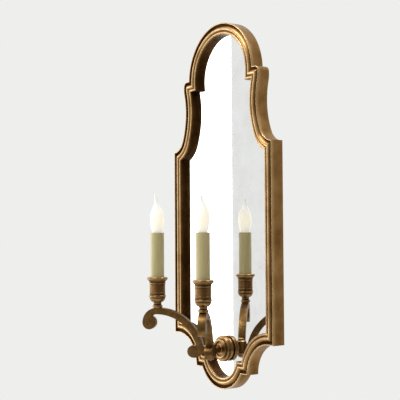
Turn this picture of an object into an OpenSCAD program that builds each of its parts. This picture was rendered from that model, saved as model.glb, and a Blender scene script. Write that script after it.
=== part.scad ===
// Double candle wall sconce on a shaped brass-framed mirror.
// The wall is the plane Y = 0, the front looks towards -Y, and Z is up.
// The origin is where the axis of the hub meets the wall.

/* [Mirror frame] */
// Width of the frame over its straight sides
frame_w = 266; // [240:1:330]
// Height of the frame from the bottom lobe to the top of the arch
frame_h = 594; // [520:1:720]
// Depth of the side band from the wall to its front edge
band_depth = 22; // [20:0.5:30]
// Thickness of the side band
band_t = 1.6; // [1:0.1:2.5]
// Width of the whole front edge, from the outside of the band to the mirror
face_w = 18.4; // [17:0.1:21]
// Distance from the straight side in to the shoulder below the arch
shoulder_inset = 30.5; // [28:0.5:34]
// Width of the small step between the arch and the shoulder
step_w = 15.5; // [12:0.5:18]
// Height of the shoulder above the centre of the arch
shoulder_rise = 3.5; // [2:0.5:8]
// Radius of the rounded shoulder corner
shoulder_r = 9; // [4:0.5:12]
// Distance from the straight side in to the waist
waist_inset = 36; // [34.5:0.5:40]
// Height from the waist up to the shoulder
waist_drop = 53.5; // [48:0.5:60]
// Height from the flared corner up to the waist
flare_drop = 65; // [58:0.5:75]
// Radius of the flare at the top of the straight side
flare_r = 28; // [22:0.5:32]
// Radius of the swell between the shoulder and the waist
swell_r = 40; // [32:1:50]
// Radius of the cove below the straight side
cove_r = 51; // [40:1:56]
// Flat underside between the straight side and the cove
cove_flat = 13; // [8:1:20]
// Height from the frame's lowest point up to the small lower step
lobe_step_h = 30; // [24:1:36]
// Width of the small step between the cove and the lobe
lobe_step_w = 17; // [14:0.5:20]

/* [Moulding] */
// Width of the hollow between the band and the outer bead
groove_w = 5; // [4:0.1:6]
// Width of the outer bead
outer_bead_w = 6.6; // [5:0.1:7.5]
// Width of the fine line between the beads
line_w = 0.8; // [0.6:0.1:1.4]
// Distance from the wall to the floor of the hollow
groove_out = 17.5; // [15.5:0.5:19.5]
// Distance from the wall to the top of the outer bead
outer_bead_out = 23.8; // [22.5:0.1:26]
// Distance from the wall to the floor of the fine line
line_out = 21.2; // [19.5:0.1:21.8]
// Distance from the wall to the top of the inner bead
inner_bead_out = 22.6; // [22:0.1:24]

/* [Mirror and back] */
// Distance from the wall to the face of the mirror
mirror_out = 11; // [9:0.5:12]
// Thickness of the mirror glass
glass_t = 3; // [2:0.5:4]
// Thickness of the backing board
board_t = 2.5; // [2:0.1:3]
// Gap between the side band and the edge of the glass
glass_gap = 0.6; // [0.3:0.1:1.5]
// Length of one retaining tab along the band
tab_len = 12; // [8:1:20]
// Reach of a retaining tab over the board
tab_reach = 8; // [5:1:12]
// Thickness of the retaining tabs
tab_t = 1; // [0.8:0.1:1.5]
// Height of the hanger bar
hanger_h = 26; // [22:1:32]
// Thickness of the hanger bar
hanger_t = 1.5; // [1:0.1:2]
// Radius of the keyhole's entry
key_r = 4.5; // [4:0.1:5]
// Radius of the keyhole's slot
key_slot_r = 2.3; // [2:0.1:2.6]
// Height of the keyhole's slot above its entry
key_rise = 9; // [8:0.5:11]

/* [Wall fixing] */
// Length of the crossbar
crossbar_l = 96; // [86:1:120]
// Height of the crossbar
crossbar_h = 22; // [18:1:30]
// Thickness of the crossbar
crossbar_t = 2; // [1.5:0.1:2]
// Distance between the crossbar's two screw holes
screw_pitch = 70; // [60:1:84]
// Radius of the crossbar's screw holes
screw_hole_r = 2.25; // [2:0.05:2.6]

/* [Hub] */
// Height of the hub axis above the frame's lowest point
hub_h = 64.5; // [58:0.5:72]
// Radius of the threaded tube through the hub
nipple_r = 5; // [4.5:0.1:5.5]
// Radius of the wireway in that tube
nipple_bore_r = 3.5; // [3:0.1:4]
// Radial clearance on threads and plugs
thread_gap = 0.05; // [0.02:0.01:0.1]
// Radius of the holes in the mirror and the board
glass_hole_r = 6.5; // [6:0.1:8]
// Radius of the boss on the mirror
boss_r = 21; // [18:0.5:25]
// Thickness of the boss
boss_t = 11; // [8:0.5:14]
// Height of the undercut round the boss's foot
boss_foot_h = 3.2; // [2:0.1:4]
// Radius of the collar in front of the boss
collar_r = 16; // [14:0.5:17]
// Radius of the stem between the boss and the arm block
stem_r = 6.5; // [6:0.1:8]
// Distance from the wall to the upright axis of the arm block
block_out = 41.3; // [39:0.1:50]
// Radius of the arm block
block_r = 9; // [8.5:0.1:10]
// Half height of the arm block
block_half_h = 11; // [10:0.5:14]
// Radius of the chamber in the arm block
chamber_r = 4.6; // [4.4:0.1:5]

/* [Arms] */
// Horizontal distance from the arm block's axis to a candle
reach = 88; // [80:1:106]
// Angle of each arm forward from the wall's plane
arm_angle = 43; // [38:1:50]
// Width of an arm
arm_w = 12; // [10:0.5:13]
// Thickness of an arm
arm_t = 10.5; // [9:0.5:12]
// Height of an arm's top above the hub axis
arm_rise = 66.5; // [60:0.5:80]
// Distance from the arm block's axis to the back of the arm's sweep
arm_root = 10; // [9.6:0.1:11]
// Radius of the outer scroll
tip_r = 24; // [20:0.5:26]
// Radius of the outer scroll's eye
tip_eye_r = 11; // [9:0.5:11.5]
// Radius of the inner scroll
curl_r = 15; // [13:0.5:17]
// Radius of the inner scroll's eye
curl_eye_r = 9.8; // [8:0.1:10.5]
// Height above the hub axis where the sweep runs into the inner scroll
curl_rise = 5.5; // [3:0.5:8]
// Thickness of the wireway inside an arm
wireway_t = 4.5; // [4:0.1:5]
// Width of the wireway inside an arm
wireway_w = 6; // [5:0.5:6.5]
// Radius of the threaded tubes in the arms
arm_tube_r = 4; // [3.6:0.1:4.2]
// Radius of the wireway in those tubes
arm_tube_bore_r = 2.5; // [2.2:0.1:2.7]
// Thickness of the flat lead inside an arm
lead_t = 2; // [1.5:0.1:2.4]
// Width of the flat lead inside an arm
lead_w = 4; // [3:0.1:4.4]

/* [Candle cup] */
// Radius of the foot ring on the arm
foot_r = 8.2; // [7:0.1:10]
// Height of the foot ring with its neck
foot_h = 7.5; // [6:0.1:9]
// Radius of the neck
neck_r = 6.4; // [5.5:0.1:7]
// Height of the bowl from the neck to the lower bead
bowl_h = 9.5; // [8:0.5:12]
// Radius of the lower bead
cup_bead_r = 13.7; // [13.2:0.1:15]
// Height of the lower bead
cup_bead_h = 3; // [2:0.1:4]
// Wall of the cup round the sleeve
cup_wall = 1.2; // [1:0.1:2]
// Height of the cup above the lower bead
cup_body_h = 29.5; // [24:0.5:36]
// Radius of the cup's rim
rim_r = 16.6; // [15.5:0.1:18]
// Thickness of the rim
rim_t = 4.5; // [3:0.1:6]
// Height of the flare below the rim
rim_flare_h = 5; // [3:0.1:7]

/* [Candle] */
// Outside radius of the candle sleeve
sleeve_r = 11.1; // [10.5:0.05:12.5]
// Wall of the candle sleeve
sleeve_wall = 0.8; // [0.6:0.1:1]
// Length of the candle sleeve
sleeve_l = 101.6; // [85:0.1:125]
// Radial gap between the sleeve and the cup
sleeve_gap = 0.25; // [0.15:0.05:0.4]
// Radius of the lampholder body
holder_r = 8.6; // [8.4:0.1:8.8]
// Height of the lampholder body
holder_h = 27; // [24:0.5:32]
// Depth of the lampholder's top below the top of the sleeve
holder_sink = 2; // [1:0.5:5]
// Radius of the lamp's screw cap
cap_r = 5.95; // [5.8:0.05:6.1]
// Length of the lamp's screw cap
cap_l = 17; // [15:0.5:19]
// Radial gap between the cap and the screw shell
cap_gap = 0.3; // [0.2:0.05:0.4]
// Radius of the lamp glass at its widest
glass_r = 11.6; // [11:0.1:13]
// Height of the lamp glass above the sleeve
glass_rise = 63; // [55:0.5:75]
// Thickness of the lamp glass
glass_wall = 0.8; // [0.6:0.1:1]

/* [Hidden] */
$fn = 64;
brass = "#8a6a3c";
steel = "#8d9094";
copper = "#b98555";

// Outline of the frame: half widths and heights from the hub axis
half_w = frame_w / 2;
frame_low = -hub_h;
frame_top = frame_h - hub_h;
shoulder_x = half_w - shoulder_inset;
arch_r = shoulder_x - step_w;
arch_z = frame_top - arch_r;
shoulder_z = arch_z + shoulder_rise;
waist_x = half_w - waist_inset;
waist_z = shoulder_z - waist_drop;
flare_z = waist_z - flare_drop + flare_r;
waist_a = waist_x - half_w;
waist_b = waist_z - flare_z;
waist_r = (flare_r * flare_r - waist_a * waist_a - waist_b * waist_b) / (2 * (waist_a + flare_r));
waist_cx = waist_x + waist_r;
swell_cx = shoulder_x - swell_r;
swell_reach = waist_r + swell_r;
swell_z = waist_z + sqrt(pow(swell_reach, 2) - pow(swell_reach - shoulder_x + waist_x, 2));
swell_turn = atan2(waist_z - swell_z, waist_cx - swell_cx);
flare_turn = 180 + atan((waist_z - flare_z) / (waist_cx - half_w));
cove_x = half_w - cove_flat;
cove_z = frame_low + lobe_step_h;
corner_z = cove_z + cove_r;
lobe_x = cove_x - cove_r - lobe_step_w;
lobe_r = (pow(lobe_step_h, 2) + pow(lobe_x, 2)) / (2 * lobe_step_h);
lobe_z = frame_low + lobe_r;

// Widths across the moulding, counted from the outside of the band
bead1_in = band_t + groove_w;
line_in = bead1_in + outer_bead_w;
bead2_in = line_in + line_w;
glass_in = band_t + glass_gap;
board_out = mirror_out - glass_t;
board_back = board_out - board_t;
nut_h = board_back - crossbar_t;
boss_face = mirror_out + boss_t;
chamfer = 0.6;

// Arm sweep and wireway in the upright plane of the arm
arm_r = reach - arm_root;
arm_cz = arm_rise - arm_r;
way_r = arm_r - arm_t / 2;
way_end = asin(-arm_cz / way_r);
way_root = reach - way_r * cos(way_end);
curl_turn = asin((curl_rise - arm_cz) / arm_r);
curl_x = reach - (arm_r - curl_r) * cos(curl_turn);
curl_z = arm_cz + (arm_r - curl_r) * sin(curl_turn);
curl_lean = 15;
tube_in = chamber_r + 0.2;
tube_end = way_root - lead_t / 2 - 0.5;
lug_half_h = 6;

// Candle position and heights above the hub axis
candle_x = reach * cos(arm_angle);
candle_out = block_out + reach * sin(arm_angle);
cup_z = arm_rise + foot_h;
bead_z = cup_z + bowl_h;
cup_r = sleeve_r + sleeve_gap + cup_wall;
cup_floor = bead_z + 2.7;
cup_top = bead_z + cup_bead_h + cup_body_h;
cup_tube_low = arm_rise - 4;
cup_nut_h = 3.5;
cup_tube_top = cup_floor + cup_nut_h + 3;
sleeve_top = cup_floor + sleeve_l;
holder_top = sleeve_top - holder_sink;
holder_low = holder_top - holder_h;
bracket_t = 1;
cap_top = holder_top - 4;
cap_low = cap_top - cap_l;
glass_low = cap_top - 1.5;
glass_top = sleeve_top + glass_rise;
shell_r = cap_r + cap_gap;
lead_r = 1.5;

function arc(cx, cz, r, from, to, n) =
    [for (i = [0:n]) let (a = from + (to - from) * i / n) [cx + r * cos(a), cz + r * sin(a)]];

// Right half of the outline, top to bottom, at a distance in from the outside.
// Near the outside the shoulder is rounded and runs into the swell; further in it is a sharp
// corner, which meets the waist itself once the swell has shrunk away.
function shoulder_end(d) =
    let (z = shoulder_z - d)
    z >= swell_z ? 0 : asin((z - swell_z) / (swell_r - d));

function waist_start(d) =
    180 - min(-swell_turn, asin((shoulder_z - d - waist_z) / (waist_r + d)));

function shoulder(d) =
    shoulder_r - d > 1
        ? arc(shoulder_x - shoulder_r, shoulder_z - shoulder_r, shoulder_r - d, 90, 0, 5)
        : shoulder_end(d) == 0 ? [[shoulder_x - d, shoulder_z - d]] : [];

function swell(d) =
    let (from = shoulder_end(d), to = swell_turn, n = 4)
    from - to < 2 ? [] : arc(swell_cx, swell_z, swell_r - d, from, to + (from - to) / n, n - 1);

function half_outline(d) = concat(
    arc(0, arch_z, arch_r - d, 90, asin((shoulder_z - d - arch_z) / (arch_r - d)), 26),
    shoulder(d),
    swell(d),
    arc(waist_cx, waist_z, waist_r + d, waist_start(d), flare_turn, 10),
    arc(half_w, flare_z, flare_r + d, flare_turn + 4, 360 - acos(-d / (flare_r + d)), 10),
    [[half_w - d, corner_z + d]],
    arc(cove_x, cove_z, cove_r + d, 90, 180 - asin(d / (cove_r + d)), 16),
    arc(0, lobe_z, lobe_r - d, asin((cove_z + d - lobe_z) / (lobe_r - d)), -90, 16));

function mirrored(half) = concat(half, [for (i = [len(half) - 2:-1:1]) [-half[i][0], half[i][1]]]);

module outline(d) {
    polygon(mirrored(half_outline(d)));
}

// Upright slab between two distances from the wall
module slab(back, front) {
    translate([0, -back, 0]) rotate([90, 0, 0]) linear_extrude(front - back) children();
}

module ring(outer_in, inner_in) {
    difference() {
        outline(outer_in);
        outline(inner_in);
    }
}

// Turned piece on the hub axis: x is the radius, y the distance from the wall
module turned_out() {
    rotate([90, 0, 0]) rotate_extrude() children();
}

module hub_bore(r, back, front) {
    slab(back, front) circle(r);
}

module upright(x, out) {
    translate([x, -out, 0]) children();
}

module at_candle() {
    upright(-candle_x, candle_out) children();
}

// Upright plane of the left arm: x runs out from the block's axis, y is height
module in_arm_plane(width) {
    upright(0, block_out) rotate([0, 0, 180 + arm_angle]) rotate([90, 0, 0])
        linear_extrude(width, center = true) children();
}

module along_arm(from, to, r) {
    upright(0, block_out) rotate([0, 0, 180 + arm_angle]) translate([from, 0, 0])
        rotate([0, 90, 0]) cylinder(h = to - from, r = r);
}

module right() {
    mirror([1, 0, 0]) children();
}

module side_band() {
    color(brass) slab(0, band_depth) ring(0, band_t);
}

module face_moulding() {
    over = outer_bead_out + 2;
    color(brass) difference() {
        slab(mirror_out, outer_bead_out) ring(band_t, face_w);
        slab(groove_out, over) ring(band_t - 1, bead1_in);
        slab(line_out, over) ring(line_in, bead2_in);
        slab(inner_bead_out, over) ring(line_in + line_w / 2, face_w + 1);
    }
}

module mirror_plate() {
    color("lightgray") difference() {
        slab(board_out, mirror_out) outline(glass_in);
        hub_bore(glass_hole_r, board_out - 1, mirror_out + 1);
    }
}

module backing_board() {
    color("#6b5a45") difference() {
        slab(board_back, board_out) outline(glass_in);
        hub_bore(glass_hole_r, board_back - 1, board_out + 1);
    }
}

// One bent tab: a leg on the band and a foot on the board, reaching along +X
module tab() {
    translate([0, -board_back, -tab_len / 2]) cube([tab_t, board_back - 0.5, tab_len]);
    translate([0, -board_back, -tab_len / 2]) cube([tab_reach, tab_t, tab_len]);
}

module retaining_tabs() {
    side_mid = (flare_z - flare_r + corner_z) / 2;
    sag = function (r) r - sqrt(r * r - tab_len * tab_len / 4);
    color(brass) {
        for (side = [0, 1])
            for (k = [-1, 0, 1])
                mirror([side, 0, 0])
                    translate([-half_w + band_t, 0, side_mid + k * 0.36 * (flare_z - corner_z)]) tab();
        translate([0, 0, frame_low + band_t + sag(lobe_r - band_t)]) rotate([0, -90, 0]) tab();
        translate([0, 0, frame_top - band_t - sag(arch_r - band_t)]) rotate([0, 90, 0]) tab();
    }
}

module hanger_bar() {
    bar_x = waist_x - band_t;
    color(steel) difference() {
        union() {
            translate([-bar_x, -1 - hanger_t, waist_z - hanger_h / 2])
                cube([2 * bar_x, hanger_t, hanger_h]);
            for (side = [0, 1])
                mirror([side, 0, 0]) translate([bar_x - hanger_t, -board_back, waist_z - hanger_h / 2])
                    cube([hanger_t, board_back - 1, hanger_h]);
        }
        translate([0, 0, waist_z - key_rise / 2]) slab(0, 2 + hanger_t) union() {
            circle(key_r);
            translate([-key_slot_r, 0]) square([2 * key_slot_r, key_rise]);
            translate([0, key_rise]) circle(key_slot_r);
        }
    }
}

module wall_crossbar() {
    end_r = crossbar_h / 2;
    color(steel) slab(0, crossbar_t) difference() {
        union() {
            square([crossbar_l - 2 * end_r, crossbar_h], center = true);
            for (s = [-1, 1]) translate([s * (crossbar_l / 2 - end_r), 0]) circle(end_r);
        }
        circle(nipple_r + thread_gap);
        for (s = [-1, 1]) translate([s * screw_pitch / 2, 0]) circle(screw_hole_r);
    }
}

module hex_nut(flats, bore_r, h) {
    difference() {
        cylinder(h = h, r = flats / 2 / cos(30), $fn = 6);
        translate([0, 0, -1]) cylinder(h = h + 2, r = bore_r);
    }
}

module rear_nut() {
    color(steel) translate([0, -crossbar_t, 0]) rotate([90, 0, 0])
        hex_nut(2 * nipple_r + 4, nipple_r + thread_gap, nut_h);
}

module hub_nipple() {
    tip = block_out - chamber_r + 1;
    color(copper) difference() {
        hub_bore(nipple_r, 0, tip);
        hub_bore(nipple_bore_r, -1, tip + 1);
    }
}

module hub_boss() {
    edge = 3;
    foot = boss_r - 2.6;
    foot_top = mirror_out + boss_foot_h;
    bore = nipple_r + 4 * thread_gap;
    color(brass) turned_out() polygon(concat(
        [[bore, mirror_out], [foot, mirror_out], [foot, foot_top], [boss_r, foot_top]],
        arc(boss_r - edge, boss_face - edge, edge, 0, 90, 6),
        [[bore, boss_face]]));
}

module boss_collar() {
    bead = 1.9;
    inner = stem_r + thread_gap;
    color(brass) turned_out() polygon(concat(
        [[inner, boss_face], [collar_r, boss_face]],
        arc(collar_r - bead, boss_face + 1.2, bead, 0, 180, 10),
        [[collar_r - 2 * bead, boss_face + 0.9], [inner, boss_face + 0.9]]));
}

module hub_stem() {
    color(brass) difference() {
        hub_bore(stem_r, boss_face, block_out - block_r + 3);
        hub_bore(nipple_r + thread_gap, boss_face - 1, block_out);
        upright(0, block_out) cylinder(h = 4 * block_half_h, r = block_r, center = true);
    }
}

module arm_block() {
    color(brass) difference() {
        upright(0, block_out) rotate_extrude() polygon(concat(
            [[0, -block_half_h], [block_r - chamfer, -block_half_h],
             [block_r, -block_half_h + chamfer], [block_r, block_half_h - chamfer],
             [block_r - chamfer, block_half_h]],
            arc(0, block_half_h - 1, 5, 12, 90, 8)));
        upright(0, block_out) translate([0, 0, -block_half_h - 1])
            cylinder(h = block_half_h + 1 + 7, r = chamber_r);
        hub_bore(nipple_r + thread_gap, block_out - block_r - 1, block_out);
        along_arm(2, block_r + 1, arm_tube_r + thread_gap);
        right() along_arm(2, block_r + 1, arm_tube_r + thread_gap);
    }
}

module block_cap() {
    plug_l = 4;
    color(brass) upright(0, block_out) translate([0, 0, -block_half_h]) rotate_extrude()
        polygon(concat(
            [[0, plug_l], [chamber_r - thread_gap, plug_l], [chamber_r - thread_gap, 0], [7, 0],
             [7, -1]],
            arc(0, -1, 5.5, -10, -90, 8)));
}

// Side view of an arm: a long sweep with an eye at each end
module arm_shape() {
    difference() {
        translate([reach, arm_cz]) circle(arm_r, $fn = 180);
        translate([reach, arm_cz]) circle(arm_r - arm_t, $fn = 180);
        translate([reach, arm_cz - 2 * arm_r]) square(4 * arm_r);
        translate([reach, arm_cz]) rotate(180 - curl_turn) translate([-2 * arm_r, 0])
            square([4 * arm_r, 2 * arm_r]);
    }
    tip_z = arm_rise - tip_r;
    difference() {
        translate([reach, tip_z]) circle(tip_r);
        translate([reach, tip_z]) circle(tip_r - arm_t);
        translate([reach - 2 * tip_r, tip_z - 2 * tip_r]) square([2 * tip_r, 4 * tip_r]);
        translate([reach - tip_r, tip_z - 2 * tip_r]) square([3 * tip_r, 2 * tip_r]);
    }
    translate([reach + tip_r - tip_eye_r, tip_z]) circle(tip_eye_r);
    intersection() {
        translate([curl_x, curl_z]) circle(curl_r);
        translate([curl_x, curl_z]) polygon([
            [0, 0],
            [-2 * curl_r * cos(curl_turn), 2 * curl_r * sin(curl_turn)],
            [-2 * curl_r, -2 * curl_r],
            [2 * curl_r * sin(curl_lean), -2 * curl_r]]);
    }
    eye_step = curl_r - curl_eye_r;
    translate([curl_x + eye_step * sin(curl_lean), curl_z - eye_step * cos(curl_lean)])
        circle(curl_eye_r);
    translate([block_r - 2, -lug_half_h]) square([curl_x - block_r + 2, 2 * lug_half_h]);
}

// Band along the middle of the arm's sweep, from the candle's axis down to the hub axis
module way_shape(t, past) {
    difference() {
        translate([reach, arm_cz]) circle(way_r + t / 2, $fn = 180);
        translate([reach, arm_cz]) circle(way_r - t / 2, $fn = 180);
        translate([reach + past, arm_cz - 2 * arm_r]) square(4 * arm_r);
        translate([0, -4 * arm_r - past]) square([4 * arm_r, 4 * arm_r]);
    }
}

module arm() {
    color(brass) difference() {
        in_arm_plane(arm_w) arm_shape();
        in_arm_plane(wireway_w) way_shape(wireway_t, 2);
        along_arm(0, tube_end, arm_tube_r + thread_gap);
        at_candle() translate([0, 0, cup_tube_low]) cylinder(h = 20, r = arm_tube_r + thread_gap);
        upright(0, block_out) cylinder(h = 8 * block_half_h, r = block_r, center = true);
    }
}

module arm_tube() {
    color(copper) difference() {
        along_arm(tube_in, tube_end, arm_tube_r);
        along_arm(tube_in - 1, tube_end + 1, arm_tube_bore_r);
    }
}

module arm_lead() {
    color("#c9b27a") union() {
        in_arm_plane(lead_w) way_shape(lead_t, lead_t / 2);
        along_arm(tube_in, way_root, lead_t / 2);
        at_candle() translate([0, 0, arm_rise - arm_t / 2])
            cylinder(h = holder_low - arm_rise + arm_t / 2, r = lead_r);
    }
}

module foot_ring() {
    ring_h = 4.4;
    bore = arm_tube_r + thread_gap;
    color(brass) at_candle() translate([0, 0, arm_rise]) rotate_extrude() polygon(concat(
        [[bore, 0], [foot_r - 0.6, 0]],
        arc(foot_r - ring_h / 2, ring_h / 2, ring_h / 2, -60, 60, 6),
        [[neck_r, ring_h + 0.4], [neck_r, foot_h], [bore, foot_h]]));
}

module cup_tube() {
    color(copper) at_candle() translate([0, 0, cup_tube_low]) difference() {
        cylinder(h = cup_tube_top - cup_tube_low, r = arm_tube_r);
        translate([0, 0, -1]) cylinder(h = cup_tube_top - cup_tube_low + 2, r = arm_tube_bore_r);
    }
}

module candle_cup() {
    bore = arm_tube_r + thread_gap;
    inner = sleeve_r + sleeve_gap;
    body_low = bead_z + cup_bead_h;
    rim_low = cup_top - rim_t;
    color(brass) at_candle() rotate_extrude() polygon(concat(
        [[bore, cup_z], [neck_r, cup_z]],
        [for (i = [1:7]) let (a = 90 * i / 8)
            [neck_r + (cup_bead_r - 0.8 - neck_r) * sin(a), bead_z - bowl_h * cos(a)]],
        [[cup_bead_r - 0.8, bead_z]],
        arc(cup_bead_r - cup_bead_h / 2, bead_z + cup_bead_h / 2, cup_bead_h / 2, -60, 60, 6),
        [[cup_r, body_low + 0.4], [cup_r, rim_low - rim_flare_h - 1.5],
         [cup_r + 0.7, rim_low - rim_flare_h - 1], [cup_r + 0.7, rim_low - rim_flare_h]],
        arc(rim_r - 1, rim_low - rim_flare_h, rim_r - 1.7 - cup_r, 165, 100, 5),
        arc(rim_r - 1.6, cup_top - 1.6, 1.6, -50, 90, 7),
        [[inner + 1.2, cup_top - 1], [inner, cup_top - 1.6], [inner, cup_floor],
         [bore, cup_floor]]));
}

module cup_nut() {
    color(steel) at_candle() translate([0, 0, cup_floor])
        hex_nut(13, arm_tube_r + thread_gap, cup_nut_h);
}

module holder_bracket() {
    leg_half_w = 2.5;
    base_z = cup_floor + cup_nut_h;
    color(steel) at_candle() difference() {
        union() {
            translate([0, 0, base_z]) cylinder(h = bracket_t, r = 7.5);
            translate([0, -leg_half_w, base_z])
                cube([holder_r + bracket_t, 2 * leg_half_w, bracket_t]);
            translate([holder_r, -leg_half_w, base_z])
                cube([bracket_t, 2 * leg_half_w, holder_low + 12 - base_z]);
        }
        translate([0, 0, base_z - 1]) cylinder(h = bracket_t + 2, r = arm_tube_r + thread_gap);
    }
}

module lampholder() {
    color("#2b2622") at_candle() difference() {
        translate([0, 0, holder_low]) cylinder(h = holder_h, r = holder_r);
        translate([0, 0, cap_low - 2]) cylinder(h = holder_h, r = shell_r + 0.5);
    }
}

module screw_shell() {
    color(copper) at_candle() difference() {
        translate([0, 0, cap_low - 1]) cylinder(h = cap_l - 1, r = shell_r + 0.5);
        translate([0, 0, cap_low - 2]) cylinder(h = cap_l + 1, r = shell_r);
    }
}

module centre_contact() {
    color(copper) at_candle() translate([0, 0, cap_low - 2]) cylinder(h = 1.4, r = 2.2);
}

module candle_sleeve() {
    color("#a5a27a") at_candle() difference() {
        translate([0, 0, cup_floor]) cylinder(h = sleeve_l, r = sleeve_r);
        translate([0, 0, cup_floor - 1]) cylinder(h = sleeve_l + 2, r = sleeve_r - sleeve_wall);
    }
}

// Radius of the flame-shaped glass at a share of its height
function flame_r(s) =
    s < 0.42 ? cap_r - 0.9 + (glass_r - cap_r + 0.9) * pow(sin(90 * s / 0.42), 1.3)
             : glass_r * pow(max(cos(90 * (s - 0.42) / 0.58), 0), 0.85) * (1.1 - 0.25 * s) + 0.4;

function flame_side(low, high, shrink) =
    [for (i = [0:24]) let (s = i / 24) [max(flame_r(s) - shrink, 0.2), low + (high - low) * s]];

// Blown glass, open at the neck, where the screw cap closes it
module bulb_glass() {
    color("whitesmoke") at_candle() difference() {
        rotate_extrude() polygon(concat(
            [[0, glass_low]], flame_side(glass_low, glass_top - 0.4, 0), [[0, glass_top]]));
        rotate_extrude() polygon(concat(
            [[0, glass_low - 1], [cap_r - 1.7, glass_low - 1]],
            flame_side(glass_low, glass_top - 3, glass_wall), [[0, glass_top - 3]]));
    }
}

module bulb_cap() {
    color("silver") at_candle() difference() {
        union() {
            translate([0, 0, cap_low + 3]) cylinder(h = cap_l - 3 - 1.5, r = cap_r);
            translate([0, 0, cap_low + 1]) cylinder(h = 2.1, r = 4);
            translate([0, 0, cap_low]) cylinder(h = 1.1, r = 2.2);
        }
        translate([0, 0, cap_low + 4]) cylinder(h = cap_l, r = cap_r - 0.6);
    }
}

module filament() {
    foot = glass_low + glass_wall;
    color("#d8d2c0") at_candle() union() {
        translate([0, 0, foot]) cylinder(h = 16, r = 2.2);
        for (s = [-1, 1]) translate([s * 1.5, 0, foot + 15]) cylinder(h = 14, r = 0.4);
        translate([-2.5, 0, foot + 28.5]) rotate([0, 90, 0]) cylinder(h = 5, r = 0.6);
    }
}

side_band();
face_moulding();
mirror_plate();
backing_board();
retaining_tabs();
hanger_bar();
wall_crossbar();
rear_nut();
hub_nipple();
hub_boss();
boss_collar();
hub_stem();
arm_block();
block_cap();
arm();  // arm_left
right() arm();  // arm_right
arm_tube();  // arm_tube_left
right() arm_tube();  // arm_tube_right
arm_lead();  // arm_lead_left
right() arm_lead();  // arm_lead_right
foot_ring();  // foot_ring_left
right() foot_ring();  // foot_ring_right
cup_tube();  // cup_tube_left
right() cup_tube();  // cup_tube_right
candle_cup();  // candle_cup_left
right() candle_cup();  // candle_cup_right
cup_nut();  // cup_nut_left
right() cup_nut();  // cup_nut_right
holder_bracket();  // holder_bracket_left
right() holder_bracket();  // holder_bracket_right
lampholder();  // lampholder_left
right() lampholder();  // lampholder_right
screw_shell();  // screw_shell_left
right() screw_shell();  // screw_shell_right
centre_contact();  // centre_contact_left
right() centre_contact();  // centre_contact_right
candle_sleeve();  // candle_sleeve_left
right() candle_sleeve();  // candle_sleeve_right
bulb_glass();  // bulb_glass_left
right() bulb_glass();  // bulb_glass_right
bulb_cap();  // bulb_cap_left
right() bulb_cap();  // bulb_cap_right
filament();  // filament_left
right() filament();  // filament_right
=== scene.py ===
# %% [markdown]
# A wall sconce for two electric candles, on a mirror in a shaped brass frame.
# The working model of every part already exists, so this lesson only gives it its looks: the
# camera and light first, then the finishes, then each piece that deserves a finer shape.
# Lengths that go to Blender are in metres. Sections, outlines and anything named mm are in
# millimetres, and are multiplied by mm on their way in.

# %% Load the frame
import math

import bmesh
import bpy
from mathutils import Matrix, Vector


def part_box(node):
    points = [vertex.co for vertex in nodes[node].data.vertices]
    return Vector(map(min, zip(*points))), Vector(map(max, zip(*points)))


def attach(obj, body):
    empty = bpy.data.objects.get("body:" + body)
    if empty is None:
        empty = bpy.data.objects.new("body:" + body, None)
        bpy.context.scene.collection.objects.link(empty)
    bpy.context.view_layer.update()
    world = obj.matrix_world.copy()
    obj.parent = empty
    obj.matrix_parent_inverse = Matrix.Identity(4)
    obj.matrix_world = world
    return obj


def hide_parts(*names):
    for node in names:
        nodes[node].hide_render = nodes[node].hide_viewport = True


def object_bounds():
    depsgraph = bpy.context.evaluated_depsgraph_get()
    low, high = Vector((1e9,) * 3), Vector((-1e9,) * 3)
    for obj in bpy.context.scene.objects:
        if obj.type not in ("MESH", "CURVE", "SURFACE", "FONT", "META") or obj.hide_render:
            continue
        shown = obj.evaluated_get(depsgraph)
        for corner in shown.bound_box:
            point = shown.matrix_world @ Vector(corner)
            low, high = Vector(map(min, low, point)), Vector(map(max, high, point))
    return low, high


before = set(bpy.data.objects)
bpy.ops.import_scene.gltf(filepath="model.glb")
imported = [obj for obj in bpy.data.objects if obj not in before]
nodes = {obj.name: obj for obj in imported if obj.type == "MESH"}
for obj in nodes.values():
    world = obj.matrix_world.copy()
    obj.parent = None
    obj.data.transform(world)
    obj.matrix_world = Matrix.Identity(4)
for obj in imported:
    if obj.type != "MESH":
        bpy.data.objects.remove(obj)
cad_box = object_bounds()
mm = 0.001
sides = ("left", "right")


# %% [markdown]
# The camera stands to the right of the sconce and a little below its middle, and looks very
# slightly up. A long lens keeps upright lines upright.

# %% Camera
azimuth, pitch, roll = math.radians(54.99), math.radians(2.15), math.radians(-0.35)
camera = bpy.data.objects.new("camera", bpy.data.cameras.new("camera"))
bpy.context.scene.collection.objects.link(camera)
camera.data.lens = 83.9
camera.data.sensor_width = 36
camera.location = (1.2209, -0.9161, 0.1838)
turn = Matrix.Rotation(azimuth, 4, "Z") @ Matrix.Rotation(math.pi / 2 + pitch, 4, "X")
camera.rotation_euler = (turn @ Matrix.Rotation(roll, 4, "Z")).to_euler()
bpy.context.scene.camera = camera
bpy.context.scene.view_settings.view_transform = "Standard"
print("camera at", tuple(round(c, 3) for c in camera.location))


# %% [markdown]
# Polished metal and a mirror show the room more than themselves, so the room matters as much
# as the finish. It is a pale studio that falls into shade on the right, where the camera is:
# that shade gives the brass its dark middles and leaves its edges bright. One large soft panel
# stands out in front on the left, and the mirror shows it as its bright half. A smaller one
# overhead gives the gleam along the top of the arch. The backdrop itself is one plain tone, and
# a pale floor lies well below the sconce.

# %% Helper: add one node with its settings and links
def linear(hex_text):
    parts = [int(hex_text[i:i + 2], 16) / 255 for i in (1, 3, 5)]
    light = [c / 12.92 if c <= 0.04045 else ((c + 0.055) / 1.055) ** 2.4 for c in parts]
    return (*light, 1.0)


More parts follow.
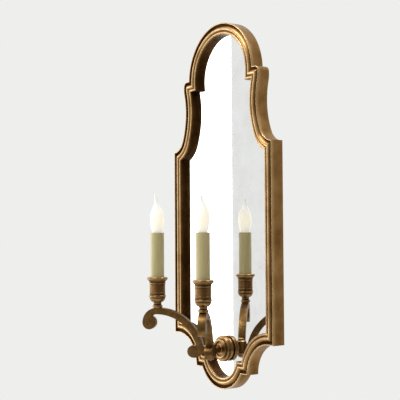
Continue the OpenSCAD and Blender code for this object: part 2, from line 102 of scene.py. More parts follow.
def add(tree, kind, inputs=None, stops=None, **settings):
    node = tree.nodes.new(kind)
    for key, value in settings.items():
        setattr(node, key, value)
    for key, value in (inputs or {}).items():
        if isinstance(value, bpy.types.NodeSocket):
            tree.links.new(value, node.inputs[key])
        else:
            node.inputs[key].default_value = value
    if stops:
        ramp = node.color_ramp.elements
        while len(ramp) < len(stops):
            ramp.new(0.5)
        for element, (position, colour) in zip(ramp, stops):
            element.position = position
            element.color = linear(colour)
    return node


# %% Room and light
def panel(name, place, towards, size, power):
    light = bpy.data.lights.new(name, "AREA")
    light.shape = "RECTANGLE"
    light.size, light.size_y = size
    light.energy = power
    lamp = bpy.data.objects.new(name, light)
    lamp.location = place
    lamp.rotation_euler = (Vector(towards) - Vector(place)).to_track_quat("-Z", "Y").to_euler()
    lamp.visible_camera = False
    bpy.context.scene.collection.objects.link(lamp)


world = bpy.data.worlds.new("studio")
bpy.context.scene.world = world
world.use_nodes = True
sky = world.node_tree
backdrop = sky.nodes["Background"]
backdrop.inputs["Color"].default_value = linear("#eeefed")
shade_side = (0.95, -0.3, 0.0)
way = add(sky, "ShaderNodeTexCoord")
facing = add(sky, "ShaderNodeVectorMath", {0: way.outputs["Generated"], 1: shade_side},
             operation="DOT_PRODUCT")
room_tone = add(sky, "ShaderNodeValToRGB", {"Fac": facing.outputs["Value"]},
                stops=((0.0, "#eeefed"), (0.35, "#d8d7d3"), (0.62, "#a8a49c"), (0.95, "#6a655c")))
room = add(sky, "ShaderNodeBackground", {"Color": room_tone.outputs["Color"]})
seen = add(sky, "ShaderNodeLightPath")
both = add(sky, "ShaderNodeMixShader", {"Fac": seen.outputs["Is Camera Ray"],
                                        1: room.outputs["Background"],
                                        2: backdrop.outputs["Background"]})
sky.links.new(both.outputs["Shader"], sky.nodes["World Output"].inputs["Surface"])

panel("left_panel", place=(-3.55, -2.0, 0.3), towards=(-3.55, 0, 0.3), size=(1.85, 3.2), power=60)
panel("top_panel", place=(-0.1, -0.75, 1.7), towards=(0, -0.02, 0.4), size=(0.9, 0.5), power=12)

floor_drop = 0.54
floor_radius = 1.5
bm = bmesh.new()
bmesh.ops.create_circle(bm, cap_ends=True, segments=96, radius=floor_radius)
bmesh.ops.translate(bm, verts=bm.verts, vec=(0, 0, cad_box[0][2] - floor_drop))
floor_mesh = bpy.data.meshes.new("floor")
bm.to_mesh(floor_mesh)
bm.free()
floor = bpy.data.objects.new("floor", floor_mesh)
bpy.context.scene.collection.objects.link(floor)
print("floor at", round(cad_box[0][2] - floor_drop, 3))


# %% [markdown]
# Aged brass is brass that was given a brown patina and then rubbed back, so that the proud edges
# shine and the hollows stay nearly black. A painter would mask that by hand. Here each mesh carries a
# wear and shade number on every vertex, from 0 deep in a hollow to 1 on a proud edge, and the finish
# turns it into colour and polish. The high end is rubbed wear. The low end is both the patina left in
# the hollows and painted shade, darkening recesses as if less light reached them. Slow patches and
# fine grain break it up, so that no edge looks drawn with a ruler.

# %% Aged brass
def new_material(name, **values):
    material = bpy.data.materials.new(name)
    material.use_nodes = True
    shader = material.node_tree.nodes["Principled BSDF"]
    for key, value in values.items():
        shader.inputs[key.replace("_", " ")].default_value = value
    return material.node_tree, shader, material


def aged_brass(name, tones, patch_mm, grain_mm, stretch, satin):
    """Brass under a rubbed patina. Metal shows its own colour in every reflection, so the tones are
    the polished metal, the browned metal and the dark hollows, whose darkness is patina and painted
    shade together. satin is the roughness on the open surface: polished edges are smoother and
    hollows rougher."""
    tree, shader, material = new_material(name, Metallic=1.0)
    place = add(tree, "ShaderNodeTexCoord").outputs["Object"]
    wear_and_shade = add(tree, "ShaderNodeAttribute", attribute_name="wear_and_shade").outputs["Fac"]
    patches = add(tree, "ShaderNodeTexNoise",
                  {"Vector": place, "Scale": 1 / (patch_mm * mm), "Detail": 5.0})
    along = add(tree, "ShaderNodeMapping", {"Vector": place, "Scale": stretch})
    grain = add(tree, "ShaderNodeTexNoise",
                {"Vector": along.outputs["Vector"], "Scale": 1 / (grain_mm * mm), "Detail": 3.0})
    uneven = add(tree, "ShaderNodeMapRange",
                 {"Value": patches.outputs["Fac"], "From Min": 0.3, "From Max": 0.7,
                  "To Min": -0.13, "To Max": 0.13})
    fine = add(tree, "ShaderNodeMapRange",
               {"Value": grain.outputs["Fac"], "From Min": 0.3, "From Max": 0.7,
                "To Min": -0.05, "To Max": 0.05})
    rubbed = add(tree, "ShaderNodeMath", {0: wear_and_shade, 1: uneven.outputs["Result"]}, operation="ADD")
    rubbed = add(tree, "ShaderNodeMath", {0: rubbed.outputs["Value"], 1: fine.outputs["Result"]},
                 operation="ADD")
    # The hollow tone is patina and painted shade together: low wear and shade values darken the
    # recesses where shade falls.
    hollow_and_shade, browned, open_metal, polished = tones
    colour = add(tree, "ShaderNodeValToRGB", {"Fac": rubbed.outputs["Value"]},
                 stops=((0.06, hollow_and_shade), (0.36, browned), (0.58, open_metal), (0.92, polished)))
    tree.links.new(colour.outputs["Color"], shader.inputs["Base Color"])
    sheen = add(tree, "ShaderNodeMapRange",
                {"Value": rubbed.outputs["Value"], "From Min": 0.1, "From Max": 0.9,
                 "To Min": satin + 0.14, "To Max": satin - 0.12})
    tree.links.new(sheen.outputs["Result"], shader.inputs["Roughness"])
    relief = add(tree, "ShaderNodeBump",
                 {"Height": grain.outputs["Fac"], "Strength": 0.2, "Distance": 0.025 * mm})
    tree.links.new(relief.outputs["Normal"], shader.inputs["Normal"])
    return material


# The frame is rolled strip, rubbed with the length of the strip.
frame_brass = aged_brass("rubbed_brass_strip", ("#4a3015", "#805b31", "#a67e4c", "#d8b584"),
                         patch_mm=26, grain_mm=0.7, stretch=(1, 1, 0.25), satin=0.38)
# Cups, boss and rings are turned on a lathe, which leaves fine rings across their axis.
turned_brass = aged_brass("turned_aged_brass", ("#46301a", "#775833", "#936e45", "#bd9a68"),
                          patch_mm=14, grain_mm=0.5, stretch=(0.12, 0.12, 1), satin=0.40)
# The arms are sand cast, so they keep a fine even grain under the patina.
cast_brass = aged_brass("cast_aged_brass", ("#3c2b17", "#73572f", "#8f6d42", "#cdaa76"),
                        patch_mm=7, grain_mm=0.45, stretch=(1, 1, 1), satin=0.40)
print("brass finishes:", frame_brass.name, turned_brass.name, cast_brass.name)


# %% [markdown]
# The other finishes are plain ones. Mirror glass is a metal that is nearly perfectly smooth,
# with the faint clouds and specks of an old silvering. The candle tubes are card painted in a
# satin olive cream. The lamp glass is opal: it glows warm near the filament and nearly white
# towards its tip. The hidden fittings are zinc plate, yellow brass, nickel, moulded phenolic and
# hardboard.

# %% Mirror, candle tube and lamp glass
def antique_mirror():
    tree, shader, material = new_material("antique_mirror_glass", Metallic=1.0, Roughness=0.015)
    place = add(tree, "ShaderNodeTexCoord").outputs["Object"]
    cloud_mm, speck_mm = 30, 3.2
    clouds = add(tree, "ShaderNodeTexNoise",
                 {"Vector": place, "Scale": 1 / (cloud_mm * mm), "Detail": 6.0, "Roughness": 0.6})
    specks = add(tree, "ShaderNodeTexNoise",
                 {"Vector": place, "Scale": 1 / (speck_mm * mm), "Detail": 2.0})
    silver = add(tree, "ShaderNodeValToRGB", {"Fac": clouds.outputs["Fac"]},
                 stops=((0.34, "#eeeeed"), (0.5, "#f3f3f3"), (0.66, "#f6f7f8")))
    spots = add(tree, "ShaderNodeValToRGB", {"Fac": specks.outputs["Fac"]},
                stops=((0.22, "#dedcd7"), (0.29, "#ffffff"), (1.0, "#ffffff")))
    both = add(tree, "ShaderNodeMix", {"Factor": 1.0, 6: silver.outputs["Color"],
                                       7: spots.outputs["Color"]},
               data_type="RGBA", blend_type="MULTIPLY")
    tree.links.new(both.outputs[2], shader.inputs["Base Color"])
    return material


def painted_card():
    tree, shader, material = new_material("painted_card_tube", Roughness=0.42, IOR=1.48)
    shader.inputs["Coat Weight"].default_value = 0.6
    shader.inputs["Coat Roughness"].default_value = 0.3
    place = add(tree, "ShaderNodeTexCoord").outputs["Object"]
    brush_mm, fleck_mm = 2.4, 0.5
    along = add(tree, "ShaderNodeMapping", {"Vector": place, "Scale": (1, 1, 0.06)})
    brush = add(tree, "ShaderNodeTexNoise",
                {"Vector": along.outputs["Vector"], "Scale": 1 / (brush_mm * mm), "Detail": 4.0})
    flecks = add(tree, "ShaderNodeTexNoise",
                 {"Vector": place, "Scale": 1 / (fleck_mm * mm), "Detail": 2.0})
    paint = add(tree, "ShaderNodeValToRGB", {"Fac": brush.outputs["Fac"]},
                stops=((0.3, "#d0c28c"), (0.5, "#d9cb95"), (0.7, "#e0d49f")))
    tree.links.new(paint.outputs["Color"], shader.inputs["Base Color"])
    relief = add(tree, "ShaderNodeBump",
                 {"Height": flecks.outputs["Fac"], "Strength": 0.2, "Distance": 0.03 * mm})
    tree.links.new(relief.outputs["Normal"], shader.inputs["Normal"])
    return material


def opal_glass(name, glow_centre, reach):
    """Opal lamp glass, lit from inside: the glow falls off with distance from the filament."""
    tree, shader, material = new_material(name, Roughness=0.2, IOR=1.5)
    shader.inputs["Base Color"].default_value = linear("#f4f3ee")
    place = add(tree, "ShaderNodeTexCoord").outputs["Object"]
    away = add(tree, "ShaderNodeVectorMath", {0: place, 1: tuple(glow_centre)},
               operation="DISTANCE")
    glow = add(tree, "ShaderNodeMapRange",
               {"Value": away.outputs["Value"], "From Min": 0.25 * reach, "From Max": reach,
                "To Min": 0.62, "To Max": 0.36}, interpolation_type="SMOOTHSTEP")
    tree.links.new(glow.outputs["Result"], shader.inputs["Emission Strength"])
    warmth = add(tree, "ShaderNodeMapRange",
                 {"Value": away.outputs["Value"], "From Min": 0.3 * reach, "From Max": 0.8 * reach})
    tint = add(tree, "ShaderNodeValToRGB", {"Fac": warmth.outputs["Result"]},
               stops=((0.0, "#fff3d0"), (1.0, "#fbfbf6")))
    tree.links.new(tint.outputs["Color"], shader.inputs["Emission Color"])
    return material


mirror_glass = antique_mirror()
tube_paint = painted_card()
print("glass and paint:", mirror_glass.name, tube_paint.name)


# %% Fittings behind the mirror and inside the candles
def mottled(name, dark, light, patch_mm, fine_mm, relief_mm, **values):
    """A finish with slow patches between two tones and a fine relief."""
    tree, shader, material = new_material(name, **values)
    place = add(tree, "ShaderNodeTexCoord").outputs["Object"]
    patches = add(tree, "ShaderNodeTexNoise",
                  {"Vector": place, "Scale": 1 / (patch_mm * mm), "Detail": 5.0})
    fine = add(tree, "ShaderNodeTexNoise",
               {"Vector": place, "Scale": 1 / (fine_mm * mm), "Detail": 3.0})
    colour = add(tree, "ShaderNodeValToRGB", {"Fac": patches.outputs["Fac"]},
                 stops=((0.32, dark), (0.68, light)))
    tree.links.new(colour.outputs["Color"], shader.inputs["Base Color"])
    relief = add(tree, "ShaderNodeBump",
                 {"Height": fine.outputs["Fac"], "Strength": 0.4, "Distance": relief_mm * mm})
    tree.links.new(relief.outputs["Normal"], shader.inputs["Normal"])
    return material


finishes = {
    # Hardboard is pressed wood fibre: dull, brown and finely hairy on its back.
    "hardboard": mottled("hardboard_back", "#5d4a33", "#7d6749", 5, 0.6, 0.12, Roughness=0.9),
    # Zinc plate over steel is grey with slow cloudy patches, and only half bright.
    "zinc": mottled("zinc_plated_steel", "#8d9196", "#b4b8bc", 6, 0.5, 0.02, Metallic=1.0,
                    Roughness=0.34),
    # Drawn tube and cut strip of yellow brass were never patinated.
    "tube": mottled("drawn_yellow_brass", "#b08a45", "#d3ad62", 8, 0.4, 0.02, Metallic=1.0,
                    Roughness=0.3),
    # Moulded phenolic is almost black and a little glossy, as old lampholders are.
    "phenolic": mottled("moulded_phenolic", "#1d1815", "#2c2520", 12, 0.8, 0.01, Roughness=0.38),
    # The lead is flat twin flex with a soft translucent sheath.
    "sheath": mottled("flex_sheath", "#b79f5c", "#cbb674", 10, 0.8, 0.01, Roughness=0.45),
    # The lamp cap is thin nickel-plated brass, scuffed by the thread of its shell.
    "nickel": mottled("nickel_plated_cap", "#a9a49a", "#cfcbc2", 3, 0.3, 0.02, Metallic=1.0,
                      Roughness=0.27),
    # The glass stem and its lead wires glow with the filament.
    "stem": mottled("lamp_stem_glass", "#d9d4c6", "#efeade", 4, 0.4, 0.01, Roughness=0.15),
}
print("fitting finishes:", len(finishes))


# %% [markdown]
# Parts whose working shape is already the real one keep it and only get their finish. Their
# names say what they are, so a short list of name beginnings is enough.

# %% Finishes for the parts that stay as they are
kept = {
    "mirror_plate": mirror_glass,
    "backing_board": finishes["hardboard"],
    "retaining_tabs": finishes["tube"],
    "hanger_bar": finishes["zinc"],
    "wall_crossbar": finishes["zinc"],
    "rear_nut": finishes["zinc"],
    "cup_nut": finishes["zinc"],
    "holder_bracket": finishes["zinc"],
    "hub_nipple": finishes["tube"],
    "arm_tube": finishes["tube"],
    "cup_tube": finishes["tube"],
    "screw_shell": finishes["tube"],
    "centre_contact": finishes["tube"],
    "arm_lead": finishes["sheath"],
    "lampholder": finishes["phenolic"],
    "filament": finishes["stem"],
}
for name, node in nodes.items():
    for start, material in kept.items():
        if name.startswith(start):
            for index in range(len(node.material_slots)):
                node.material_slots[index].material = material
print("parts with a finish of their own:", sum(any(n.startswith(k) for k in kept) for n in nodes))


# %% [markdown]
# Every new piece needs the same last steps: doubles merged, normals turned outwards, wear and painted
# shade worked out, smooth shading with sharp corners, a finish, a body to ride on and the working
# parts that it stands for. Wear and shade come from the shape itself: along each edge, the way the
# normal leans tells how tightly the surface bends there, in or out. A bend outwards is a rubbed edge,
# and a bend inwards is a hollow darkened as patina and painted shade.

# %% Helper: wear and painted shade from the shape, and finishing a piece
def mark_wear_and_shade(bm, depth=0.8):
    """The value is 0.5 on flat metal, near 1 on an edge of 1 mm radius (rubbed wear) and near 0 in
    such a hollow (patina and painted shade).
    """
    bm.normal_update()
    layer = bm.verts.layers.float.get("wear_and_shade") or bm.verts.layers.float.new("wear_and_shade")
    for vertex in bm.verts:
        bends = [0.0]
        for edge in vertex.link_edges:
            step = edge.other_vert(vertex).co - vertex.co
            bends.append(-2 * mm * vertex.normal.dot(step) / max(step.length_squared, 1e-10))
        bend = max(bends) + min(bends)
        vertex[layer] = min(max(0.5 + depth * bend, 0.0), 1.0)


def place_piece(name, bm, material, body, stands_for, smooth=35, wear_and_shade=True):
    """Turns a bmesh into a piece of the object. smooth is the sharpest angle left smooth."""
    bmesh.ops.remove_doubles(bm, verts=bm.verts, dist=0.002 * mm)
    bmesh.ops.recalc_face_normals(bm, faces=bm.faces)
    if wear_and_shade:
        mark_wear_and_shade(bm)
    mesh = bpy.data.meshes.new(name)
    bm.to_mesh(mesh)
    bm.free()
    mesh.shade_smooth()
    mesh.set_sharp_from_angle(angle=math.radians(smooth))
    mesh.materials.append(material)
    piece = bpy.data.objects.new(name, mesh)
    bpy.context.scene.collection.objects.link(piece)
    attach(piece, body)
    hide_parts(*stands_for)
    print(name, "-", len(mesh.polygons), "faces on", body)


# %% [markdown]
# The frame's outline is drawn once, as a formula that gives the same number of points at any
# distance in from the outside. The right half runs from the top of the arch down to the lobe:
# arch, shoulder, swell, waist, flare, straight side, cove and lobe, all arcs that meet each
# other. Mirrored, it gives the whole loop, so the left side can never differ from the right.

# %% The outline of the frame, in millimetres from the hub's axis
frame_low, frame_side = (c / mm for c in (cad_box[0][2], cad_box[1][0]))
frame_top = cad_box[1][2] / mm
shoulder_x, shoulder_r, shoulder_rise, step_w = frame_side - 30.5, 9, 3.5, 15.5
arch_r = shoulder_x - step_w
arch_z = frame_top - arch_r
shoulder_z = arch_z + shoulder_rise
waist_x, waist_z, swell_r = frame_side - 36, shoulder_z - 53.5, 40
flare_r, flare_drop = 28, 65
flare_z = waist_z - flare_drop + flare_r
toward_side, above_flare = waist_x - frame_side, waist_z - flare_z
waist_r = (flare_r**2 - toward_side**2 - above_flare**2) / (2 * (toward_side + flare_r))
waist_cx, swell_cx = waist_x + waist_r, shoulder_x - swell_r
swell_z = waist_z + math.sqrt((waist_r + swell_r)**2 - (waist_cx - swell_cx)**2)
swell_turn = math.atan2(waist_z - swell_z, waist_cx - swell_cx)
flare_turn = math.pi + math.atan((waist_z - flare_z) / (waist_cx - frame_side))
cove_r, cove_flat, lobe_step_h, lobe_step_w = 51, 13, 30, 17
cove_x, cove_z = frame_side - cove_flat, frame_low + lobe_step_h
corner_z = cove_z + cove_r
lobe_x = cove_x - cove_r - lobe_step_w
lobe_r = (lobe_step_h**2 + lobe_x**2) / (2 * lobe_step_h)
lobe_z = frame_low + lobe_r
# Where two more points lie on the long straight side, and how far past the join of waist and
# flare the flare's first point is, as both arcs would otherwise have a point on the join.
below_flare, above_cove, past_join = 40, 60, 0.05


def arc(cx, cz, r, start, end, count):
    steps = [start + (end - start) * i / count for i in range(count + 1)]
    return [(cx + r * math.cos(a), cz + r * math.sin(a)) for a in steps]


def outline(d):
    """The whole loop at a distance d in from the outside, always with the same point count."""
    quarter = math.pi / 2
    top = shoulder_z - d
    swell_from = math.asin(max((top - swell_z) / (swell_r - d), -1)) if top < swell_z else 0.0
    waist_from = math.pi - min(-swell_turn, math.asin((top - waist_z) / (waist_r + d)))
    waist = arc(waist_cx, waist_z, waist_r + d, waist_from, flare_turn, 14)
    if swell_from > swell_turn:
        swell = arc(swell_cx, swell_z, swell_r - d, swell_from, swell_turn, 6)
    else:
        swell = [waist[0]] * 7
    turn_r = max(shoulder_r - d, 0.3)
    half = (
        arc(0, arch_z, arch_r - d, quarter, math.asin((top - arch_z) / (arch_r - d)), 44)
        + arc(swell[0][0] - turn_r, top - turn_r, turn_r, quarter, 0, 6)
        + swell[1:]
        + waist
        + arc(frame_side, flare_z, flare_r + d, flare_turn + past_join,
              2 * math.pi - math.acos(-d / (flare_r + d)), 14)
        + [(frame_side - d, flare_z - flare_r - below_flare), (frame_side - d, corner_z + above_cove)]
        + [(frame_side - d, corner_z + d)]
        + arc(cove_x, cove_z, cove_r + d, quarter, math.pi - math.asin(d / (cove_r + d)), 26)
        + arc(0, lobe_z, lobe_r - d,
              math.asin((cove_z + d - lobe_z) / (lobe_r - d)), -quarter, 30))
    return half + [(-x, z) for x, z in half[-2:0:-1]]


print("outline of", len(outline(0)), "points;", "waist radius", round(waist_r, 1), "mm")


# %% [markdown]
# A moulding is one cross-section carried round an outline. The loop at the first point of the section
# is extruded edge by edge to the next point, and so on round the section until it meets itself.
# Extruding keeps the points in step, which bridging loops of such different shapes would not. The
# section also gives each line of it a wear and shade value: the lip and the beads are rubbed bright,
# while the hollow and the wall that goes down to the glass are nearly black as patina and painted
# shade together.

# %% Helper: carry a section round the outline
def carried_round(section):
    """section: (distance in, distance out from the wall, wear and painted shade), in mm, as a closed
    line.
    """
    bm = bmesh.new()
    order = bm.verts.layers.int.new("order")
    wear_and_shade = bm.verts.layers.float.new("wear_and_shade")

    def lay(verts, point):
        d, out, wear_and_shade_level = point
        loop = outline(d)
        for vertex in verts:
            x, z = loop[vertex[order]]
            vertex.co = (x * mm, -out * mm, z * mm)
            vertex[wear_and_shade] = wear_and_shade_level

    first = [bm.verts.new((0, 0, 0)) for _ in outline(0)]
    for index, vertex in enumerate(first):
        vertex[order] = index
    edges = [bm.edges.new((a, b)) for a, b in zip(first, first[1:] + first[:1])]
    lay(first, section[0])
    for point in list(section[1:]) + [section[0]]:
        made = bmesh.ops.extrude_edge_only(bm, edges=edges)["geom"]
        edges = [e for e in made if isinstance(e, bmesh.types.BMEdge)]
        lay([v for v in made if isinstance(v, bmesh.types.BMVert)], point)
    return bm


def bead(middle, base, half_w, height, wear_and_shade_level, steps=10):
    """A raised half round across the section, brightest on its crown."""
    line = []
    for i in range(1, steps):
        a = math.pi - math.pi * i / steps
        line.append((middle + half_w * math.cos(a), base + height * math.sin(a),
                     0.3 + (wear_and_shade_level - 0.3) * math.sin(a)**0.7))
    return line


# %% Side band
band_depth, band_t, lip_r, line_gap = 22.0, 1.6, 0.8, 1.5
lip = [(lip_r - lip_r * math.cos(a), band_depth - lip_r + lip_r * math.sin(a), 0.97)
       for a in (math.pi * i / 8 for i in range(9))]
# On the outer face the values fall from the lip towards the wall: painted shade that darkens the band
# where it meets the wall, below the rubbed lip.
band_section = (
    [(0, 0.0, 0.42), (0, 0.8, 0.56), (0, 6, 0.5), (0, 12, 0.51), (0, 16.5, 0.56), (0, 19.0, 0.7),
     (0, band_depth - line_gap, 0.86)]
    + lip
    + [(band_t, 19.6, 0.3), (band_t, 12, 0.3), (band_t, 0.0, 0.35)])
place_piece("frame_band", carried_round(band_section), frame_brass,
            "sconce", ["side_band"], wear_and_shade=False)

# %% Face moulding
glass_face, line_mid, face_w = -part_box("mirror_plate")[0][1] / mm, 13.6, 18.4
# Low values in the groove and on the inner wall down to the glass are patina and painted shade
# together; the crowns are rubbed bright.
moulding_section = (
    [(band_t, glass_face, 0.1), (band_t, 19.2, 0.16), (2.2, 17.9, 0.06), (3.4, 17.6, 0.06),
     (4.6, 18.3, 0.16), (5.8, 19.8, 0.36), (6.8, 21.0, 0.54), (7.8, 21.9, 0.68), (9.0, 22.6, 0.8),
     (9.9, 22.8, 0.84), (10.9, 22.6, 0.8), (11.9, 22.0, 0.66), (12.8, 21.1, 0.48),
     (line_mid - 0.4, 20.6, 0.4), (line_mid, 20.3, 0.3), (line_mid + 0.4, 20.5, 0.38)]
    + bead(middle=16.2, base=20.0, half_w=2.2, height=2.0, wear_and_shade_level=0.8, steps=12)
    + [(face_w, 19.8, 0.34), (face_w, 19.0, 0.2), (face_w, 16.0, 0.08),
       (face_w, glass_face, 0.04)])
place_piece("frame_moulding", carried_round(moulding_section), frame_brass,
            "sconce", ["face_moulding"], wear_and_shade=False)


# %% [markdown]
# Turned parts start as half a section on the lathe's axis. Each corner of the section is rounded by
# its own radius, because real turned brass has no perfectly sharp edge and a rounded one catches the
# light. Long stretches are cut into short steps, so that wear and painted shade fade within a
# millimetre or two of an edge. Spinning the section round its axis makes the solid.

# %% Helper: round a section and turn it
def rounded(points, step=1.3):
    """points: (radius, height, corner radius) in mm, in order, as a closed line."""
    line = []
    count = len(points)
    for i, (x, z, r) in enumerate(points):
        here = Vector((x, z))
        back = Vector(points[i - 1][:2]) - here
        on = Vector(points[(i + 1) % count][:2]) - here
        half = back.angle(on) / 2 if back.length and on.length else math.pi / 2
        cut = min(r / math.tan(half) if half < 1.55 else 0, back.length * 0.45, on.length * 0.45)
        if cut < 0.02:
            line.append(here)
            continue
        start, end = here + back.normalized() * cut, here + on.normalized() * cut
        for k in range(6):
            t = k / 5
            line.append(start * (1 - t)**2 + here * 2 * t * (1 - t) + end * t**2)
    even = []
    for a, b in zip(line, line[1:] + line[:1]):
        parts = max(1, math.ceil((b - a).length / step))
        even += [a.lerp(b, k / parts) for k in range(parts)]
    return even


def turned(line, place=Matrix(), steps=72):
    """Spins a line of (radius, height) points in mm round the upright axis, then places it."""
    bm = bmesh.new()
    verts = [bm.verts.new((max(x, 0) * mm, 0, z * mm)) for x, z in line]
    for a, b in zip(verts, verts[1:] + verts[:1]):
        bm.edges.new((a, b))
    bmesh.ops.spin(bm, geom=bm.verts[:] + bm.edges[:], cent=(0, 0, 0), axis=(0, 0, 1),
                   angle=2 * math.pi, steps=steps, use_merge=True)
    bmesh.ops.remove_doubles(bm, verts=bm.verts, dist=0.002 * mm)
    bmesh.ops.dissolve_degenerate(bm, edges=bm.edges, dist=0.001 * mm)
    bmesh.ops.transform(bm, matrix=place, verts=bm.verts)
    return bm


# Tips the lathe's axis over, so that heights count out from the wall along the hub's axis.
from_wall = Matrix.Rotation(math.pi / 2, 4, "X")


# %% [markdown]
# The hub is four turned pieces in a row: a boss that is undercut where it meets the glass, a raised
# ring round a recess that the finish darkens as patina and painted shade, a short stem, and the
# upright block that holds both arms, closed from below by a small button.

# %% Hub
boss_low, boss_high = (-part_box("hub_boss")[k][1] / mm for k in (1, 0))
boss_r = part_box("hub_boss")[1][0] / mm
stem_r, nipple_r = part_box("hub_stem")[1][0] / mm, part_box("hub_nipple")[1][0] / mm
boss_line = rounded([
    (nipple_r + 0.2, boss_low, 0), (boss_r - 2.6, boss_low, 0), (boss_r - 2.6, boss_low + 3.2, 0.8),
    (boss_r - 0.3, boss_low + 3.4, 0.5), (boss_r, boss_low + 4.2, 0.4),
    (boss_r, boss_high, 3.0), (nipple_r + 0.2, boss_high, 0)])
place_piece("hub_boss_turned", turned(boss_line, from_wall), turned_brass,
            "sconce", ["hub_boss"])

ring_low, ring_high = (-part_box("boss_collar")[k][1] / mm for k in (1, 0))
ring_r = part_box("boss_collar")[1][0] / mm
ring_line = rounded([
    (stem_r + 0.05, ring_low, 0), (ring_r, ring_low, 0.3), (ring_r, ring_high - 0.6, 1.0),
    (ring_r - 1.9, ring_high, 1.8), (ring_r - 3.8, ring_high - 0.6, 0.8),
    (ring_r - 4.0, ring_low + 0.9, 0.5), (stem_r + 0.05, ring_low + 0.9, 0)])
place_piece("boss_ring_turned", turned(ring_line, from_wall), turned_brass,
            "sconce", ["boss_collar"])

block_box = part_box("arm_block")
block_out = -(block_box[0][1] + block_box[1][1]) / 2 / mm
block_r = (block_box[1][1] - block_box[0][1]) / 2 / mm
block_half_h = -block_box[0][2] / mm
stem_end = block_out - block_r + 1.2
stem_line = rounded([
    (nipple_r + 0.05, ring_low, 0), (stem_r, ring_low, 0), (stem_r, ring_low + 2.6, 0.8),
    (stem_r - 0.9, ring_low + 3.6, 0.8), (stem_r - 0.9, stem_end, 0),
    (nipple_r + 0.05, stem_end, 0)])
place_piece("hub_stem_turned", turned(stem_line, from_wall), turned_brass,
            "sconce", ["hub_stem"])

block_top = block_box[1][2] / mm
at_block = Matrix.Translation((0, -block_out * mm, 0))
block_line = rounded([
    (0, -block_half_h, 0), (block_r, -block_half_h, 0.9), (block_r, block_half_h - 1.4, 0.8),
    (block_r - 1.6, block_half_h - 0.2, 0.6), (5.4, block_half_h, 0.8), (4.6, block_top - 1.1, 1.6),
    (2.4, block_top - 0.1, 2.0), (0, block_top, 0)])
place_piece("arm_block_turned", turned(block_line, at_block), turned_brass,
            "sconce", ["arm_block"])

cap_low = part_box("block_cap")[0][2] / mm
cap_line = rounded([
    (0, -block_half_h, 0), (7, -block_half_h, 0.2), (7, -block_half_h - 1.0, 0.5),
    (5.6, -block_half_h - 1.3, 0.4), (5.2, -block_half_h - 3.6, 2.2), (2.2, cap_low + 0.2, 2.2),
    (0, cap_low, 0)])
place_piece("block_button", turned(cap_line, at_block), turned_brass,
            "sconce", ["block_cap"])


# %% [markdown]
# The arms are cast bars, square in section, that sweep up from the hub and end in scrolls. Their
# working shape is exact but has knife edges. A copy of it is merged into one skin and every sharp
# edge is bevelled, as casting and filing would. Only the middle of each bevel keeps its value, rubbed
# bright on an outside edge and dark in an inside corner as patina and painted shade. Points on the
# broad faces go back to the plain middle value, so that the brightness stays on the edges.

# %% Arms
sharp_corner = math.radians(48)
bevel_w = 0.9 * mm


def cast_arm(side):
    bm = bmesh.new()
    bm.from_mesh(nodes[f"arm_{side}"].data)
    bmesh.ops.remove_doubles(bm, verts=bm.verts, dist=0.004 * mm)
    corners = [e for e in bm.edges
               if e.is_manifold and e.calc_face_angle(0) > sharp_corner]
    made = bmesh.ops.bevel(bm, geom=corners, offset=bevel_w, offset_type="OFFSET", segments=4,
                           profile=0.5, affect="EDGES", clamp_overlap=True, material=-1)
    bmesh.ops.recalc_face_normals(bm, faces=bm.faces)
    mark_wear_and_shade(bm)
    layer = bm.verts.layers.float["wear_and_shade"]
    for face in set(bm.faces) - set(made["faces"]):
        for vertex in face.verts:
            vertex[layer] = 0.5
    return bm


for side in sides:
    place_piece(f"arm_cast_{side}", cast_arm(side), cast_brass, "sconce",
                [f"arm_{side}"], smooth=30, wear_and_shade=False)


# %% [markdown]
# Each candle stands on a foot ring and in a turned cup: a small bowl, a bead, a plain drum with
# two fine raised lines, and a flared rim rolled over at the top. The card tube slips into the
# cup with a quarter of a millimetre to spare. Both candles are made by the same loop.

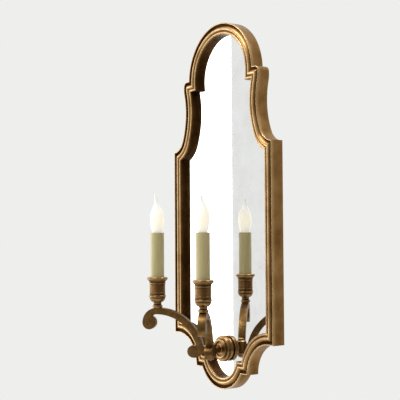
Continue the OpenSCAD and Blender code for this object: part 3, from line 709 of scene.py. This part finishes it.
# %% Foot rings, cups and candle tubes
for side in sides:
    tube_low, tube_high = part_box(f"candle_sleeve_{side}")
    axis = Matrix.Translation(((tube_low[0] + tube_high[0]) / 2,
                               (tube_low[1] + tube_high[1]) / 2, 0))
    tube_r = (tube_high[0] - tube_low[0]) / 2 / mm
    tube_base, tube_top = tube_low[2] / mm, tube_high[2] / mm

    foot_low, foot_top = (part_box(f"foot_ring_{side}")[k][2] / mm for k in (0, 1))
    bore = 4.05
    foot_line = rounded([
        (bore, foot_low, 0), (7.4, foot_low, 0.1), (8.2, foot_low + 0.9, 1.1),
        (8.2, foot_low + 3.5, 1.2), (7.0, foot_low + 4.3, 0.4), (6.2, foot_low + 5.0, 0.5),
        (6.2, foot_low + 6.6, 0.3), (6.6, foot_top, 0.2), (bore, foot_top, 0)])
    place_piece(f"foot_ring_turned_{side}", turned(foot_line, axis), turned_brass,
                "sconce", [f"foot_ring_{side}"])

    low, top = (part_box(f"candle_cup_{side}")[k][2] / mm for k in (0, 1))
    inside, drum, rim = tube_r + 0.25, tube_r + 1.45, 16.6
    cup_line = rounded([
        (bore, low, 0), (6.4, low, 0.2), (6.6, low + 1.3, 0.5), (9.4, low + 2.5, 2.2),
        (12.3, low + 5.8, 2.6), (12.7, low + 9.3, 0.3), (13.7, low + 9.6, 0.9),
        (13.7, low + 12.3, 0.9), (12.8, low + 12.7, 0.2), (drum, low + 13.2, 0.2),
        (drum, low + 15.9, 0.1), (drum + 0.45, low + 16.2, 0.3), (drum + 0.45, low + 17.1, 0.3),
        (drum, low + 17.4, 0.1), (drum, top - 11.4, 0.1), (drum + 0.7, top - 11.0, 0.4),
        (drum + 0.7, top - 9.7, 0.4), (drum + 0.2, top - 9.3, 0.2), (drum + 0.4, top - 7.4, 2.2),
        (rim - 1.3, top - 4.9, 1.0), (rim - 0.7, top - 4.5, 0.3), (rim, top - 3.6, 0.9),
        (rim, top - 1.0, 1.4), (rim - 1.9, top, 1.4), (rim - 3.9, top - 0.6, 0.6),
        (inside, top - 1.5, 0.4), (inside, tube_base, 0), (bore, tube_base, 0)])
    place_piece(f"candle_cup_turned_{side}", turned(cup_line, axis, steps=80), turned_brass,
                "sconce", [f"candle_cup_{side}"])

    wall = 0.8
    tube_line = rounded([
        (tube_r - wall, tube_base, 0), (tube_r, tube_base, 0.1), (tube_r, tube_top, 0.35),
        (tube_r - wall, tube_top, 0.3)], step=4)
    place_piece(f"candle_tube_{side}", turned(tube_line, axis), tube_paint,
                f"sleeve_{side}", [f"candle_sleeve_{side}"], wear_and_shade=False)


# %% [markdown]
# The lamps are flame shaped, with a tail of glass drawn out and bent over while it was hot. The
# flame is a smooth curve through a few radii, spun round the candle's axis, and then every point
# above the shoulder is moved sideways, more and more towards the tip. The screw cap below it
# shows only when the lamp is lifted out, so it has its thread as well.

# %% Lamps
def smooth_through(points, per=5):
    """A Catmull-Rom curve through (radius, height) points."""
    ends = [points[0]] + list(points) + [points[-1]]
    line = []
    for p0, p1, p2, p3 in zip(ends, ends[1:], ends[2:], ends[3:]):
        for k in range(per):
            t = k / per
            line.append(tuple(
                0.5 * (2 * b + (c - a) * t + (2 * a - 5 * b + 4 * c - d) * t**2
                       + (3 * b - a - 3 * c + d) * t**3)
                for a, b, c, d in zip(p0, p1, p2, p3)))
    return line + [points[-1]]


flame = ((5.0, 0.0), (5.3, 0.03), (7.5, 0.11), (10.2, 0.25), (11.5, 0.42), (10.2, 0.56),
         (6.6, 0.69), (3.3, 0.79), (2.0, 0.88), (1.3, 0.96), (0.5, 0.995), (0.0, 1.0))
tail_lean_mm, lean_way = 3.4, Vector((-0.57, -0.82, 0))
lean_from, lean_curve = 0.58, 1.4
glow_reach = 0.030
for side in sides:
    glass_low, glass_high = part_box(f"bulb_glass_{side}")
    middle = (glass_low + glass_high) / 2
    neck_z, tip_z = glass_low[2] / mm, glass_high[2] / mm
    axis = Matrix.Translation((middle.x, middle.y, 0))
    line = [(0, neck_z)] + [(max(r, 0), neck_z + s * (tip_z - neck_z))
                            for r, s in smooth_through(flame)]
    bm = turned(line, axis)
    bend_from = neck_z + lean_from * (tip_z - neck_z)
    for vertex in bm.verts:
        share = max(vertex.co.z / mm - bend_from, 0) / (tip_z - bend_from)
        vertex.co += lean_way * (tail_lean_mm * mm * share**lean_curve)
    filament_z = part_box(f"filament_{side}")[1][2]
    glow_at = (middle.x, middle.y, filament_z - 2 * mm)
    glass = opal_glass(f"opal_lamp_glass_{side}", glow_at, glow_reach)
    place_piece(f"lamp_glass_{side}", bm, glass, f"lamp_{side}",
                [f"bulb_glass_{side}"], smooth=80, wear_and_shade=False)

    cap_low, cap_high = (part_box(f"bulb_cap_{side}")[k][2] / mm for k in (0, 1))
    cap_r, pitch, depth = 5.95, 2.2, 0.3
    per_turn, thread_from = 8, cap_low + 3.4
    thread = [(cap_r - depth + depth * math.cos(2 * math.pi * i / per_turn),
               thread_from + pitch * i / per_turn) for i in range(1, 40)]
    cap_line = ([(0, cap_low), (1.6, cap_low), (2.2, cap_low + 0.4), (2.2, cap_low + 1.0),
                 (3.9, cap_low + 1.3), (4.1, cap_low + 2.4), (5.5, cap_low + 3.2)] + thread
                + [(cap_r, cap_high - 2.0), (cap_r, cap_high - 1.6), (0, cap_high - 1.5)])
    place_piece(f"lamp_cap_{side}", turned(cap_line, axis, steps=48), finishes["nickel"],
                f"lamp_{side}", [f"bulb_cap_{side}"], smooth=50, wear_and_shade=False)
